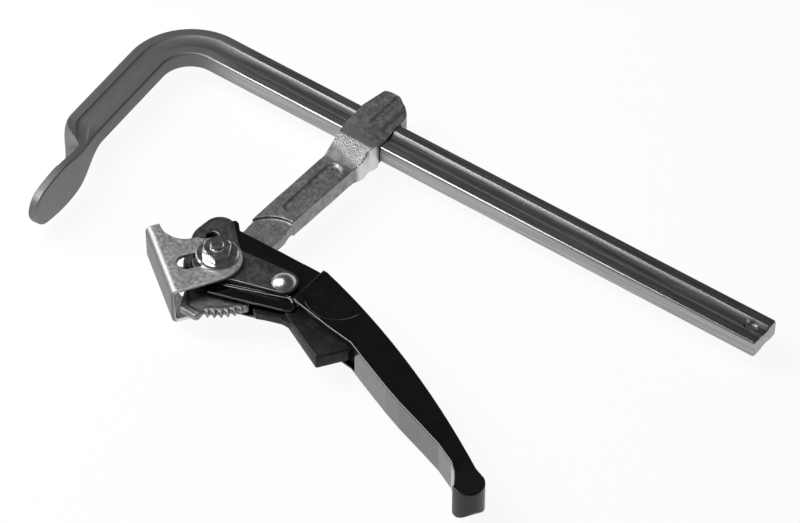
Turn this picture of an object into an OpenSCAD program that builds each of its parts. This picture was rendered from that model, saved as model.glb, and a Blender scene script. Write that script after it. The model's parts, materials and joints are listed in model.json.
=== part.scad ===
// Quick release bar clamp, lying on its side. X runs along the rail to its free end, Z is the thickness,
// the lever lies on the -Y side of the rail and the origin is the middle of the fixed pad's face.

/* [Rail] */
// Width of the rail, across its grooved face
rail_w = 25; // [22:0.5:28]
// Thickness of the rail
rail_t = 12.5; // [11:0.5:13.5]
// Bevel along the long edges of the rail
rail_bevel = 1.2; // [0.6:0.2:1.6]
// Width of the long groove in each wide face
groove_w = 11; // [8:0.5:14]
// Depth of the long groove
groove_d = 1; // [0.5:0.1:1.4]
// From the fixed pad's face to the free end of the rail
rail_reach = 425; // [340:5:600]

/* [Fixed jaw] */
// Depth of the throat, from the pad's centre to the rail
throat = 151; // [140:1:180]
// Radius inside the bend
bend_r = 20; // [14:1:30]
// Lean of the jaw towards the work, in degrees
jaw_lean = 6; // [2:1:8]
// From the pad's face back to the middle of the jaw
jaw_setback = 19.3; // [17:0.1:22]
// Width of the oval pad, across the clamp
pad_w = 32; // [28:1:36]
// Thickness of the pad
pad_t = 6.2; // [5:0.2:8]
// From the pad's centre to its rounded end
pad_low = 24; // [20:0.5:26]
// Height on the jaw where it starts to flare into the pad, above the pad's centre
flare_top = 60; // [54:1:68]

/* [Stop pin] */
// Diameter of the stop pin
stop_d = 7; // [5:0.5:8]
// From the pin to the free end of the rail
stop_inset = 11; // [9:0.5:16]
// Depth of the countersink over the pin
stop_sink = 2.2; // [1:0.2:3]
// How far the pin stands out under the rail
stop_stand = 2.8; // [2:0.2:3]

/* [Sliding arm] */
// From the fixed pad's face to the pivot, as the clamp lies
pivot_x = 122.5; // [115:0.5:180]
// From the pad's centre to the pivot, towards the rail
pivot_y = 9; // [6:0.5:12]
// Length of the loop along the rail
loop_l = 31; // [27:1:35]
// Thickness of the loop
loop_t = 20; // [19:0.5:22]
// Wall of the loop beyond the rail
loop_wall = 19; // [14:1:24]
// Running clearance of the loop round the rail, each side
rail_clear = 0.3; // [0.2:0.05:0.5]
// Width of the arm's stem
stem_w = 23; // [21:0.5:25]
// Thickness of the arm's stem
stem_t = 12.4; // [11:0.2:14]
// Length of the recess in each side of the stem
recess_l = 51; // [40:1:54]
// Depth of the recess
recess_d = 1.3; // [0.6:0.1:1.8]
// Thickness of the tongue at the pivot
tongue_t = 8; // [7:0.2:8.4]
// Thickness of the web behind the teeth
web_t = 3.2; // [2.6:0.2:3.8]
// Thickness of the toothed rim
rim_t = 4.8; // [4.2:0.2:5.6]

/* [Ratchet] */
// Radius to the tips of the teeth
tooth_r = 39; // [38:0.2:39.4]
// Depth of the teeth
tooth_d = 3; // [2.2:0.2:3.4]
// Angle from tooth to tooth, in degrees
tooth_pitch = 6.4; // [5.8:0.1:6.8]
// Number of teeth
tooth_count = 6; // [4:1:6]

/* [Pivot] */
// Diameter of the pivot bolt's shank
bolt_d = 12; // [11:0.5:12]
// Diameter of its stepped end, inside the nut
bolt_end_d = 9; // [8:0.5:10]
// Width of the nut across its flats
nut_af = 17; // [16:0.5:20]
// Height of the nut and of the bolt's head
nut_h = 5.5; // [5:0.5:7]
// Diameter of the washers
washer_d = 27; // [24:0.5:30]
// Thickness of the washers
washer_t = 1.8; // [1.4:0.1:2.2]
// Wall of the pivot bush
bush_wall = 2.5; // [2:0.25:3]
// Radial clearance of the running fits
fit = 0.06; // [0.03:0.01:0.08]
// Gap between flat faces that turn past each other
side_gap = 0.15; // [0.1:0.05:0.3]

/* [Pressure plate] */
// Width of the folded plate, over both cheeks
plate_w = 28; // [27.9:0.1:30]
// Thickness of its sheet
plate_t = 2.8; // [2.2:0.1:2.8]
// From the pivot to the plate's outer face, drawn right out
plate_out = 36.2; // [36:0.2:40]
// Plate beyond the pivot's line, on its long side
plate_long = 37.2; // [34:0.2:40]
// Plate beyond the pivot's line, on its short side
plate_short = 22.1; // [20:0.1:24]
// Direction that the plate faces as the clamp lies, in degrees
plate_turn = 235; // [232:1:238]
// Travel of the bolt in the slot
slot_run = 19.7; // [16:0.2:20]
// Radius of the cheek's nose
nose_r = 18; // [16:0.5:19]

/* [Lever] */
// Width of the lever at the grip
grip_w = 24; // [22:0.5:28]
// Thickness of the lever's sheet
lever_t = 2; // [1.6:0.1:2.4]
// From the pivot to the end of the lever, along the rail
lever_reach = 242; // [220:2:300]
// How far the grip drops away from the rail along its length
grip_drop = 82; // [70:1:100]
// Depth of the grip where it is deepest
grip_depth = 24; // [20:0.5:26]
// Radius of the hooked end
tip_r = 10; // [8:0.5:11]
// Thickness of each lever cheek at the pivot
cheek_t = 2.5; // [2:0.1:2.6]
// Height of the lever's head above the pivot, on the rail's side
head_top = 30.5; // [29.5:0.5:33]
// Thickness of each cam plate
cam_t = 3; // [2.4:0.1:3]

/* [Cam rivet and pawl] */
// Radius of the pawl's hub and of its washers
hub_r = 6.4; // [5.6:0.2:7]
// From the pivot to the cam rivet, across the rail
rivet_y = 8.8; // [8:0.2:10]
// Diameter of the rivet's domed head
rivet_head_d = 15.5; // [13:0.5:17]
// Diameter of the rivet's shank
rivet_d = 6; // [5:0.25:6]
// Wall of the bush that the pawl turns on
pawl_wall = 1.5; // [1.2:0.1:1.5]
// Thickness of the pawl
pawl_t = 4; // [3.6:0.1:4.4]
// Thickness of the trigger
trigger_t = 10; // [9:0.2:10.2]
// Diameter of the pins through the trigger
pin_d = 3; // [2:0.25:3.5]

/* [Hidden] */

$fn = 96;
// Overrun of every cut past the face that it leaves by
cut = 1;

// Rail and jaw
rail_y = throat + rail_w/2;
bend_mid = bend_r + rail_w/2;
bend_y = rail_y - bend_mid;
jaw_top = (bend_y - (bend_mid - jaw_setback)*sin(jaw_lean))/cos(jaw_lean);
bend_x = (bend_mid - jaw_setback)*cos(jaw_lean) - jaw_top*sin(jaw_lean);
stop_x = rail_reach - stop_inset;
stop_cone = stop_d/2 + stop_sink/2;

// Heights above the middle plane
thrust_top = tongue_t/2 + (tongue_t/2)*0.28;
cheek_in = thrust_top + side_gap;
cheek_out = cheek_in + cheek_t;
cam_out = cheek_out + cam_t;
plate_in = plate_w/2 - plate_t;
washer_in = plate_w/2 + side_gap/2;
washer_out = washer_in + washer_t;
nut_in = washer_out + side_gap/3;
nut_out = nut_in + nut_h;

// Pivot, and from there to the cam rivet: the pawl's hub just clears the teeth
bolt_r = bolt_d/2;
rivet_x = sqrt(pow(tooth_r + hub_r + side_gap*3, 2) - rivet_y*rivet_y);
bush_r = bolt_r + fit + bush_wall;

function smooth(s) = s*s*(3 - 2*s);
function mix(a, b, s) = a + (b - a)*s;
function turned(r, a) = [r*cos(a), r*sin(a)];
function arc(c, r, a0, a1, n) = [for (i = [0:n]) c + turned(r, mix(a0, a1, i/n))];

module at_pivot() translate([pivot_x, pivot_y, 0]) children();
module at_rivet() translate([pivot_x + rivet_x, pivot_y + rivet_y, 0]) children();
// A slab of a flat outline, from one height to another
module slab(z0, z1) translate([0, 0, z0]) linear_extrude(z1 - z0) children();
module both_sides() {
    children();
    mirror([0, 0, 1]) children();
}
module tube(r_out, r_in, z0, z1) slab(z0, z1) difference() {
    circle(r_out);
    circle(r_in);
}

// Bevelled section between back and front, t either side of the middle. Both broad sides have a groove, gw
// either side of its middle gx and gd deep, and start at the ridge, where the back bevel of depth rb ends
groove_steps = 5;
function groove_side(gx, gw, gd) =
    [for (i = [0:groove_steps]) let (u = 2*i/groove_steps - 1) [gx + gw*u, gd*(1 - u*u)]];
function section(back, front, t, b, gx, gw, gd, ridge, rb) =
    let (groove = groove_side(gx, gw, gd), n = groove_steps)
    concat([[ridge, -t]], [for (q = groove) [q[0], q[1] - t]], [[front - b, -t], [front, b - t], [front, t - b],
        [front - b, t]], [for (i = [n:-1:0]) [groove[i][0], t - groove[i][1]]], [[ridge, t], [back, t - rb],
        [back, rb - t]]);
rail_ring = section(-rail_w/2, rail_w/2, rail_t/2, rail_bevel, 0, groove_w/2, groove_d, rail_bevel - rail_w/2,
    rail_bevel);

// Rings of points along the bar, from the rail's free end down to the pad. On the leaning jaw, Y runs up it
// and X is square to the pad's face
bend_steps = 16;
neck_rings = 16;
neck_bottom = pad_w/4;
function leant(x, y, z) = [x*cos(jaw_lean) - y*sin(jaw_lean), x*sin(jaw_lean) + y*cos(jaw_lean), z];
// Share of the neck at which the groove ends, in a scoop that leans to the front
scoop_share = 0.43;
function neck_ring(s) =
    let (front = mix(rail_w/2 - jaw_setback, 0, smooth(min(1, s*1.3))),
        back = mix(-rail_w/2 - jaw_setback, -pad_t, smooth(min(1, s*1.06))),
        t = mix(rail_t, pad_w, smooth(s))/2,
        b = mix(rail_bevel, pad_t/6, s),
        away = min(1, s/scoop_share),
        fade = 1 - away*away,
        gw = mix(pad_t/4, groove_w/2, sqrt(fade)),
        gx = mix((back + front)/2, front - b - gw - pad_t/12, smooth(away)),
        ridge = mix(rail_bevel - rail_w/2 - jaw_setback, b - pad_t, smooth(min(1, max(0, s - 0.08)*2))),
        rb = b + t*0.45*sin(180*s))
    [for (q = section(back, front, t, b, gx, gw, groove_d*fade, min(ridge, gx - gw - pad_t/12), rb))
        leant(q[0], mix(flare_top, neck_bottom, s), q[1])];
// The pad: long side arcs that run into a rounded end, seen square on
pad_end_r = pad_w*0.44;
pad_low_y = pad_end_r - pad_low;
pad_run = neck_bottom - pad_low_y;
pad_side_r = (pad_run*pad_run + pad_w*pad_w/4 - pad_end_r*pad_end_r)/(pad_w - 2*pad_end_r);
pad_turn = asin(pad_run/(pad_side_r - pad_end_r));
function pad_ring(y, t) = let (b = min(pad_t/6, t*0.6))
    [for (q = section(-pad_t, 0, t, b, -pad_t/2, pad_t/4, 0, b - pad_t, b)) leant(q[0], y, q[1])];
bar_rings = concat(
    [for (x = [rail_reach, bend_x]) [for (q = rail_ring) [x, rail_y - q[0], q[1]]]],
    [for (i = [1:bend_steps]) let (a = 90 + (90 + jaw_lean)*i/bend_steps)
        [for (q = rail_ring) let (r = bend_mid - q[0]) [bend_x + r*cos(a), bend_y + r*sin(a), q[1]]]],
    [for (i = [0:neck_rings]) neck_ring(i/neck_rings)],
    [for (i = [1:5]) let (a = pad_turn*i/5)
        pad_ring(neck_bottom - pad_side_r*sin(a), pad_w/2 - pad_side_r*(1 - cos(a)))],
    [for (i = [1:10]) let (a = mix(pad_turn, 86, i/10)) pad_ring(pad_low_y - pad_end_r*sin(a), pad_end_r*cos(a))]);
module bar() {
    n = len(rail_ring);
    last = (len(bar_rings) - 1)*n;
    polyhedron(points = [for (r = bar_rings) each r], faces = concat(
        [[for (k = [0:n - 1]) k]],
        [for (i = [0:len(bar_rings) - 2], k = [0:n - 1], tri = [0, 1]) let (m = (k + 1)%n)
            tri == 0 ? [i*n + k, (i + 1)*n + k, (i + 1)*n + m] : [i*n + k, (i + 1)*n + m, i*n + m]],
        [[for (k = [n - 1:-1:0]) last + k]]));
}

module fixed_bar() color("dimgray") difference() {
    bar();
    translate([stop_x, rail_y, 0]) {
        cylinder(r = stop_d/2, h = rail_t + 2*cut, center = true);
        translate([0, 0, rail_t/2 - groove_d - stop_sink])
            cylinder(r1 = stop_d/2, r2 = stop_cone + cut, h = stop_sink + 2*cut);
    }
}

module stop_pin() color("silver") translate([stop_x, rail_y, -rail_t/2 - stop_stand])
    cylinder(r = stop_d/2, h = rail_t + stop_stand - groove_d - stop_sink);

// Outline of the arm in the plane, from the pivot
arm_top = rail_y - pivot_y + rail_w/2 + rail_clear + loop_wall;
arm_rail = rail_y - pivot_y;
loop_low = arm_rail - rail_w/2 - rail_clear - loop_t*0.3;
loop_x0 = -loop_l*0.42;
loop_x1 = loop_l*0.58;
stem_x0 = -stem_w*0.28;
stem_x1 = stem_w*0.72;
stem_low = bolt_d*3;
module arm_outline() {
    r = loop_l/6;
    // Loop with its rounded outer end, easing into the stem
    polygon(concat(
        [[loop_x0 + loop_l*0.06, loop_low + r], [loop_x0, arm_rail + rail_w*0.4]],
        arc([loop_x0 + 1.6*r, arm_top - r], r, 175, 90, 8),
        [[loop_l*0.03, arm_top - r*0.06]],
        arc([loop_x1 - 3.1*r, arm_top - 3.4*r], 2.7*r, 65, 0, 8),
        [[loop_x1 - r*0.4, arm_rail + rail_w*0.3], [loop_x1, arm_rail - rail_w*0.3], [loop_x1, loop_low + r*0.6],
            [loop_x1 - r*0.3, loop_low - r*0.6],
            [stem_x1 + stem_w*0.08, loop_low - loop_t*0.6], [stem_x1, loop_low - loop_t],
            [stem_x1 - stem_w*0.06, stem_low + recess_l*0.3], [stem_x1, stem_low + loop_t/2],
            [stem_x1, stem_low], [stem_x0, stem_low], [stem_x0 - stem_w*0.04, stem_low + recess_l*0.2],
            [stem_x0, loop_low - loop_t]]));
}
// Profile of the arm seen along the rail: Y along the arm, Z its thickness
module arm_profile() {
    z0 = stem_t/2;
    z1 = loop_t/2;
    low = -bolt_d*4;
    near = [[low, 0], [low, z0], [loop_low - loop_t, z0], [loop_low, z1], [arm_top - loop_t*0.15, z1],
        [arm_top, z1*0.85], [arm_top, 0]];
    polygon(near);
    mirror([0, 1]) polygon(near);
}
module arm_recess() slab(stem_t/2 - recess_d, stem_t/2 + cut) {
    y0 = stem_low + recess_l*0.6;
    x0 = mix(stem_x0, stem_x1, 0.52);
    r0 = stem_w*0.2;
    r1 = stem_w*0.27;
    translate([x0, y0]) circle(r0);
    translate([x0 + stem_w*0.05, y0 + recess_l - r0 - r1]) circle(r1);
    polygon([[x0 - r0, y0], [x0 + r0, y0], [x0 + stem_w*0.05 + r1, y0 + recess_l - r0 - r1],
        [x0 + stem_w*0.05 - r1, y0 + recess_l - r0 - r1]]);
}
// The arm thins from the stem to the tongue at a shoulder, cut to an arc
shoulder_r = stem_w;
shoulder_c = [stem_w*0.6, stem_low - bolt_d*0.25];
module shoulder_cut() slab(tongue_t/2, stem_t) {
    translate(shoulder_c) circle(shoulder_r);
    translate([-stem_w*1.5, -stem_w*3]) square([stem_w*3.5, stem_w*3 + shoulder_c[1]]);
}

// Bevel along the far edge of the loop
module loop_bevel() translate([0, arm_rail + loop_l, 0]) rotate([90, 0, 0]) linear_extrude(loop_l*1.4)
    polygon([[loop_x1 - loop_l*0.42, loop_t/2], [loop_x1 + cut, loop_t*0.36], [loop_x1 + cut, loop_t],
        [loop_x1 - loop_l*0.42, loop_t]]);

// Toothed sector, centred on the pivot
first_turn = -65;
// Where the last tooth ends
rim_turn = first_turn + tooth_count*tooth_pitch;
valley_r = tooth_r - tooth_d;
end_y = -tooth_r*1.04;
end_x0 = tooth_r*0.06;
module sector_outline() {
    rim_end = turned(tooth_r, rim_turn + 2.6);
    teeth = [for (i = [tooth_count - 1:-1:0]) let (a = first_turn + i*tooth_pitch)
        each [turned(valley_r, a + tooth_pitch), turned(tooth_r, a + tooth_pitch*0.72),
            turned(tooth_r, a + tooth_pitch*0.5), turned(valley_r, a + tooth_pitch*0.12)]];
    last = turned(valley_r, first_turn);
    polygon(concat(
        [[-bush_r - bolt_r, 0], [bush_r, bush_r], turned(tooth_r*0.78, rim_turn + 4)],
        arc(rim_end*0.93, tooth_r*0.07, 120, -70, 8),
        teeth,
        [last, [last[0] + tooth_d*0.2, end_y + tooth_d*0.7], [last[0] - tooth_d*0.3, end_y], [end_x0, end_y],
            [-bolt_r*0.9, -tooth_r*0.66]]));
}
// The part of the sector inside the rim, thinned to the web
module web_outline() {
    rim_in = valley_r - tooth_d*0.9;
    polygon(concat(
        [[-bush_r, -bush_r*1.1], [bush_r*1.3, -bush_r*0.6]],
        [turned(rim_in*0.9, rim_turn + 0.6)],
        arc([0, 0], rim_in, rim_turn - 3.4, -62, 10),
        [[turned(rim_in, -62)[0]*0.95, end_y + tooth_d*1.6], [end_x0 + tooth_d, end_y + tooth_d*1.5],
            [-bolt_r*0.5, -tooth_r*0.66]]));
}
module sliding_arm() color("gray") at_pivot() {
    difference() {
        intersection() {
            slab(-loop_t, loop_t) arm_outline();
            rotate([90, 0, 90]) translate([0, 0, -loop_l]) linear_extrude(2*loop_l) arm_profile();
        }
        // Window for the rail
        translate([-loop_l, arm_rail - rail_w/2 - rail_clear, -rail_t/2 - rail_clear])
            cube([2*loop_l, rail_w + 2*rail_clear, rail_t + 2*rail_clear]);
        both_sides() {
            arm_recess();
            shoulder_cut();
            loop_bevel();
        }
    }
    difference() {
        union() {
            slab(-tongue_t/2, tongue_t/2) polygon([[stem_x0, stem_low + cut], [stem_x1, stem_low + cut],
                [stem_x1, 0], [stem_x0, 0]]);
            cylinder(r = bush_r + bolt_r, h = tongue_t, center = true);
            slab(-rim_t/2, rim_t/2) sector_outline();
        }
        both_sides() slab(web_t/2, tongue_t) difference() {
            web_outline();
            circle(bush_r + bolt_r);
        }
        cylinder(r = bush_r, h = tongue_t + 2*cut, center = true);
    }
}

module pivot_bush() color("darkgoldenrod") at_pivot()
    tube(bush_r, bolt_r + fit, -tongue_t/2, tongue_t/2);

// Thrust washers between the tongue and the lever cheeks
module thrust_washer() color("silver") at_pivot()
    tube(bush_r + bolt_r/2, bolt_r + fit, tongue_t/2, thrust_top);
module thrust_washer_front() thrust_washer();
module thrust_washer_back() mirror([0, 0, 1]) thrust_washer();

module hexagon(af) rotate([0, 0, plate_turn + 5]) circle(d = af/cos(30), $fn = 6);

// Bolt: head behind, shank through everything, end standing out of the nut
module pivot_bolt() color("silver") at_pivot() {
    bolt_tip = nut_out + bolt_end_d*0.1;
    cylinder_up(bolt_r, -nut_in, nut_in - side_gap/3);
    cylinder_up(bolt_end_d/2, 0, bolt_tip);
    translate([0, 0, bolt_tip]) cylinder(d1 = bolt_end_d, d2 = bolt_end_d*0.75, h = bolt_end_d*0.12);
    mirror([0, 0, 1]) chamfered_hexagon();
}
// Hexagon with its corners turned off at the top
module chamfered_hexagon() intersection() {
    slab(nut_in, nut_out) hexagon(nut_af);
    translate([0, 0, nut_in]) rotate([0, 0, plate_turn + 20])
        cylinder(r1 = nut_af/2 + nut_h*0.9, r2 = nut_af/2 - nut_h*0.05, h = nut_h);
}
module cylinder_up(r, z0, z1) translate([0, 0, z0]) cylinder(r = r, h = z1 - z0);

module pivot_nut() color("silver") at_pivot() difference() {
    chamfered_hexagon();
    cylinder_up(bolt_end_d/2, nut_in - cut, nut_out + cut);
}

// Washers that the pressure plate swivels and slides under
module pivot_washer() color("gainsboro") at_pivot() difference() {
    union() {
        cylinder_up(washer_d/2, washer_in, washer_in + washer_t*0.55);
        translate([0, 0, washer_in + washer_t*0.55])
            cylinder(r1 = washer_d/2, r2 = washer_d/2 - washer_t*0.45, h = washer_t*0.45);
    }
    cylinder_up(bolt_r + fit, washer_in - cut, washer_out + cut);
}
module pivot_washer_front() pivot_washer();
module pivot_washer_back() mirror([0, 0, 1]) pivot_washer();

// Pressure plate in its own frame: X runs from the pivot to the face, Y along the face
module plate_cheek() {
    r = nose_r*0.94;
    slot_r = bolt_r + fit*2;
    fillet = [slot_run*0.5, -plate_long + r*0.1];
    difference() {
        union() {
            translate([nose_r/6, plate_short - nose_r*1.1]) circle(nose_r);
            polygon([[nose_r/6, plate_short - nose_r*2.08], [plate_out - plate_t/2, -plate_long],
                [plate_out - plate_t/2, plate_short], [nose_r/6, plate_short - nose_r*0.1]]);
            translate([slot_run*0.5, -plate_long]) square([plate_out - plate_t/2 - slot_run*0.5, plate_long]);
        }
        translate(fillet) circle(r);
        translate([-plate_out, -plate_long - cut]) square([plate_out + fillet[0], r + cut]);
        translate([fillet[0] - cut, -plate_long - cut]) square([r + cut, cut + r*0.1]);
        circle(slot_r);
        translate([slot_run, 0]) circle(slot_r);
        translate([0, -slot_r]) square([slot_run, 2*slot_r]);
    }
}
module pressure_plate() color("lightgray") at_pivot() rotate([0, 0, plate_turn]) {
    both_sides() slab(plate_in, plate_w/2) plate_cheek();
    translate([plate_out - plate_t, -plate_long, -plate_w/2]) cube([plate_t, plate_long + plate_short, plate_w]);
}

// Two circles and the belt round them, in the plane
module belt(a, ra, b, rb) {
    away = atan2(b[1] - a[1], b[0] - a[0]);
    open = acos((ra - rb)/norm(b - a));
    translate(a) circle(ra);
    translate(b) circle(rb);
    polygon([a + turned(ra*0.998, away - open), b + turned(rb*0.998, away - open), b + turned(rb*0.998, away + open),
        a + turned(ra*0.998, away + open)]);
}

// Lever, from the pivot: two narrow cheeks at the head, which flare into the wide channel of the grip
rivet = [rivet_x, rivet_y];
cam_end_r = rivet_head_d*0.6;
flare_x0 = rivet_x + cam_end_r + side_gap*2;
grip_x0 = rivet_x*1.38;
grip_run = lever_reach - grip_x0;
grip_out = grip_w/2;
grip_in = grip_out - lever_t;
// Depth of the grip along its length, as shares of its full depth
depth_shares = [[0.915, 0.86], [0.9, 0.73], [0.882, 0.64], [0.85, 0.57], [0.77, 0.63], [0.67, 0.78],
    [0.56, 0.93], [0.48, 0.985], [0.4, 1], [0.33, 0.995], [0.265, 0.97], [0.17, 1.14], [0, 1.31]];
// Where the web between the cheeks starts
web_share = 0.285;
web_from = grip_x0 + grip_run*web_share;
function grip_top(s) = [grip_x0 + grip_run*s, head_top - grip_drop*(0.6*s + 0.4*s*s)];
tip_c = [lever_reach - tip_r, grip_top(1)[1] - tip_r*0.35];
tip_turn = -32.6;
function grip_points(inset) = concat(
    [[flare_x0, head_top*1.01]],
    [for (i = [0:15]) grip_top(0.93*i/15)],
    arc(tip_c, tip_r - inset, 58, -130, 14),
    [for (q = depth_shares) grip_top(q[0]) - [0, grip_depth*q[1] - inset*1.12]],
    [[flare_x0, head_top*0.085]]);
module grip_outline() polygon(grip_points(0));
// Hollow of the grip, open on the rail's side and, short of the web, on both
module grip_hollow() {
    difference() {
        polygon(grip_points(lever_t));
        translate([flare_x0 - cut, -grip_drop]) square([web_from - flare_x0 + cut, 2*grip_drop]);
    }
    translate([flare_x0 - cut, -grip_drop]) square([web_from - flare_x0 + cut, 2*grip_drop]);
    polygon(concat([for (i = [0:15]) grip_top(0.9*i/15) - [0, grip_depth/3]],
        [for (i = [15:-1:0]) grip_top(0.9*i/15) + [0, cut]]));
}
// Side view of the channel: half its width at the head and at the grip
module flared(narrow, wide) rotate([90, 0, 0]) translate([0, 0, -lever_reach]) linear_extrude(2*lever_reach)
    polygon([[-cut, -narrow], [flare_x0, -narrow], [grip_x0, -wide], [2*lever_reach, -wide], [2*lever_reach, wide],
        [grip_x0, wide], [flare_x0, narrow], [-cut, narrow]]);
// Side view of the end of the tip: nearly square above and well rounded below
module tip_profile() {
    top_r = tip_r*0.2;
    low_r = grip_w*0.38;
    end = tip_c[0]*cos(tip_turn) + tip_c[1]*sin(tip_turn) + tip_r;
    rotate([90, 0, tip_turn]) translate([0, 0, -lever_reach]) linear_extrude(2*lever_reach) {
        translate([-lever_reach, -grip_w]) square([lever_reach + end - low_r, 2*grip_w]);
        translate([end - low_r, low_r - grip_out]) circle(low_r);
        translate([end - top_r, grip_out - top_r]) circle(top_r);
        translate([end - low_r - cut, low_r - grip_out]) square([low_r - top_r + cut, grip_w]);
        translate([end - top_r - cut, low_r - grip_out]) square([top_r + cut, grip_w - low_r - top_r]);
    }
}
// Shallow round dimple pressed into both sides of the grip, cut off straight along its top edge
dimple_c = [grip_x0*1.27, head_top*0.655];
dimple_r = head_top*0.705;
dimple_d = lever_t*0.7;
module dimple(r, edge) intersection() {
    translate(dimple_c) circle(r);
    polygon(concat([[0, -grip_drop], [0, head_top - edge]], [for (i = [0:6]) grip_top(i/12) - [0, edge]],
        [[grip_top(0.5)[0], -grip_drop]]));
}
// Cheek of the head, which ends under the flare: its outer layer stops short of its lower edge
head_end = flare_x0 + lever_t;
head_shares = [[-0.197, 0.967], [-0.345, 1.12], [-0.443, 1.148], [-0.508, 1.082], [-0.66, 0.75], [-0.68, 0.4],
    [-0.6, 0.05]];
outer_shares = [[-0.3, -0.45], [0.28, -0.5], [1, -0.207]];
inner_shares = [[-0.35, -0.61], [0.08, -0.705], [0.344, -0.764], [0.885, -0.587]];
function head_points(shares) = concat([[head_end, head_top*1.012]],
    [for (q = concat(head_shares, shares)) q*head_top]);
module head_outer() {
    polygon(concat(head_points(outer_shares), [[head_end, head_top*0.12]]));
    circle(head_top*0.57);
}
module head_inner() {
    polygon(concat(head_points(inner_shares), [[rivet_x*1.267, -head_top*0.252], [grip_x0, -head_top*0.16],
        [grip_x0, head_top*0.04], [head_end, head_top*0.12]]));
    circle(head_top*0.705);
}
module lever_handle() color([0.06, 0.06, 0.06]) at_pivot() difference() {
    union() {
        both_sides() {
            slab(cheek_in, cheek_out) head_outer();
            slab(cheek_in, cheek_out - cheek_t*0.4) head_inner();
        }
        difference() {
            intersection() {
                slab(-grip_out, grip_out) grip_outline();
                flared(cheek_out, grip_out + cut);
                tip_profile();
            }
            intersection() {
                slab(-grip_in, grip_in) grip_hollow();
                flared(cheek_in, grip_in + cut);
            }
            both_sides() slab(grip_out - dimple_d, grip_w) dimple(dimple_r, lever_t*2);
        }
        // Wall under the dimple
        intersection() {
            both_sides() slab(grip_in - dimple_d, grip_out - dimple_d) dimple(dimple_r + lever_t, lever_t);
            slab(-grip_w, grip_w) grip_outline();
            flared(cheek_out, grip_out + cut);
        }
    }
    cylinder(r = bolt_r + fit, h = 2*grip_w, center = true);
    translate(rivet) cylinder(r = rivet_d/2, h = 2*grip_w, center = true);
    translate(cross_at) cylinder(r = cross_d/2, h = 2*grip_w, center = true);
}

// Pin that ties the cheeks together, ahead of the trigger
cross_at = [rivet_x*1.87, rivet_y*1.36];
cross_d = pin_d*1.6;
module cross_pin() color("dimgray") at_pivot() translate(cross_at)
    cylinder(r = cross_d/2, h = 2*(grip_out - dimple_d), center = true);

// Cam plate: a round lobe beside the pivot and a tail that ends round the rivet
module cam_outline() {
    lobe = [-rivet_x*0.21, rivet_x*0.278];
    horn = [-rivet_x*0.344, rivet_x*0.467];
    corner = [rivet_x*0.162, rivet_x*0.311];
    difference() {
        union() {
            belt(lobe, rivet_x*0.378, horn, rivet_x*0.229);
            belt([0, 0], bolt_r*2.67, lobe, rivet_x*0.3);
        }
        // Straight edge from the horn down to the corner
        polygon([corner, corner + turned(rivet_x*1.5, 139.3), [rivet_x, rivet_x*1.5], corner + [rivet_x, 0]]);
    }
    polygon([[rivet_x*0.01, -rivet_x*0.1], [rivet_x*0.278, -rivet_x*0.247], rivet + turned(cam_end_r*0.998, -70),
        rivet + turned(cam_end_r*0.998, 98), [rivet_x*0.03, rivet_x*0.3]]);
    translate(rivet) circle(cam_end_r);
}
module cam_plate() color("gray") at_pivot() slab(cheek_out, cam_out) difference() {
    cam_outline();
    circle(bolt_r + fit);
    translate(rivet) circle(rivet_d/2);
    translate([-rivet_x*0.322, rivet_x*0.289]) circle(rivet_d*0.67);
}
module cam_plate_front() cam_plate();
module cam_plate_back() mirror([0, 0, 1]) cam_plate();

// Cam rivet: shank and two domed heads
dome_h = rivet_head_d*0.26;
dome_r = (rivet_head_d*rivet_head_d/4 + dome_h*dome_h)/(2*dome_h);
module cam_rivet() color("silver") at_rivet() {
    cylinder(r = rivet_d/2, h = 2*cam_out, center = true);
    both_sides() intersection() {
        translate([0, 0, cam_out + dome_h - dome_r]) sphere(dome_r);
        cylinder_up(rivet_head_d, cam_out, cam_out + 2*dome_h);
    }
}

// Pawl on its bush, between spacers
pawl_bore = rivet_d/2 + pawl_wall;
module pawl_bush() color("darkgoldenrod") at_rivet() tube(pawl_bore, rivet_d/2, -cheek_in, cheek_in);
module pawl_washer() color("silver") at_rivet() tube(hub_r, pawl_bore, pawl_t/2 + side_gap, cheek_in);
module pawl_washer_front() pawl_washer();
module pawl_washer_back() mirror([0, 0, 1]) pawl_washer();

// Pawl, from the pivot: hooked round the teeth, with a tail inside the trigger. Its nose starts past the rim
nose_turns = [6.3, 4.9];
nose = [turned(tooth_r*1.06, rim_turn + nose_turns[0]), turned(tooth_r*1.195, rim_turn + nose_turns[1])];
module pawl_outline() {
    translate(rivet) circle(hub_r);
    difference() {
        polygon([rivet + turned(hub_r, 150), nose[0], nose[1], [rivet_x*1.27, -rivet_x*0.25], tail_end - [0, tail_h],
            tail_end, [rivet_x*1.28, rivet_x*0.02], rivet + turned(hub_r, 60)]);
        circle(tooth_r + side_gap*2.5);
    }
}
tail_end = [rivet_x*1.78, -rivet_x*0.045];
tail_h = rivet_x*0.2;
module pawl() color("gray") at_pivot() slab(-pawl_t/2, pawl_t/2) difference() {
    pawl_outline();
    translate(rivet) circle(pawl_bore + fit);
    at_pins() circle(pin_d/2);
}
module at_pins() {
    translate([rivet_x*1.47, -rivet_x*0.075]) children();
    translate([rivet_x*1.7, -rivet_x*0.14]) children();
}

// Trigger, from the pivot: a wedge with a slot for the pawl's tail
trigger_shares = [[1.28, -0.02], [1.25, -0.1], [1.3, -0.17], [2.14, -0.567], [2.4, -0.19], [2.42, -0.022],
    [1.42, 0.09]];
pin_half = trigger_t/2 - pin_d*0.4;
module trigger() color([0.1, 0.1, 0.1]) at_pivot() difference() {
    slab(-trigger_t/2, trigger_t/2) polygon([for (q = trigger_shares) q*rivet_x]);
    slab(-pawl_t/2, pawl_t/2) pawl_outline();
    slab(-pin_half, pin_half) at_pins() circle(pin_d/2);
}
module trigger_pins() color("silver") at_pivot() at_pins() cylinder(r = pin_d/2, h = 2*pin_half, center = true);

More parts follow.
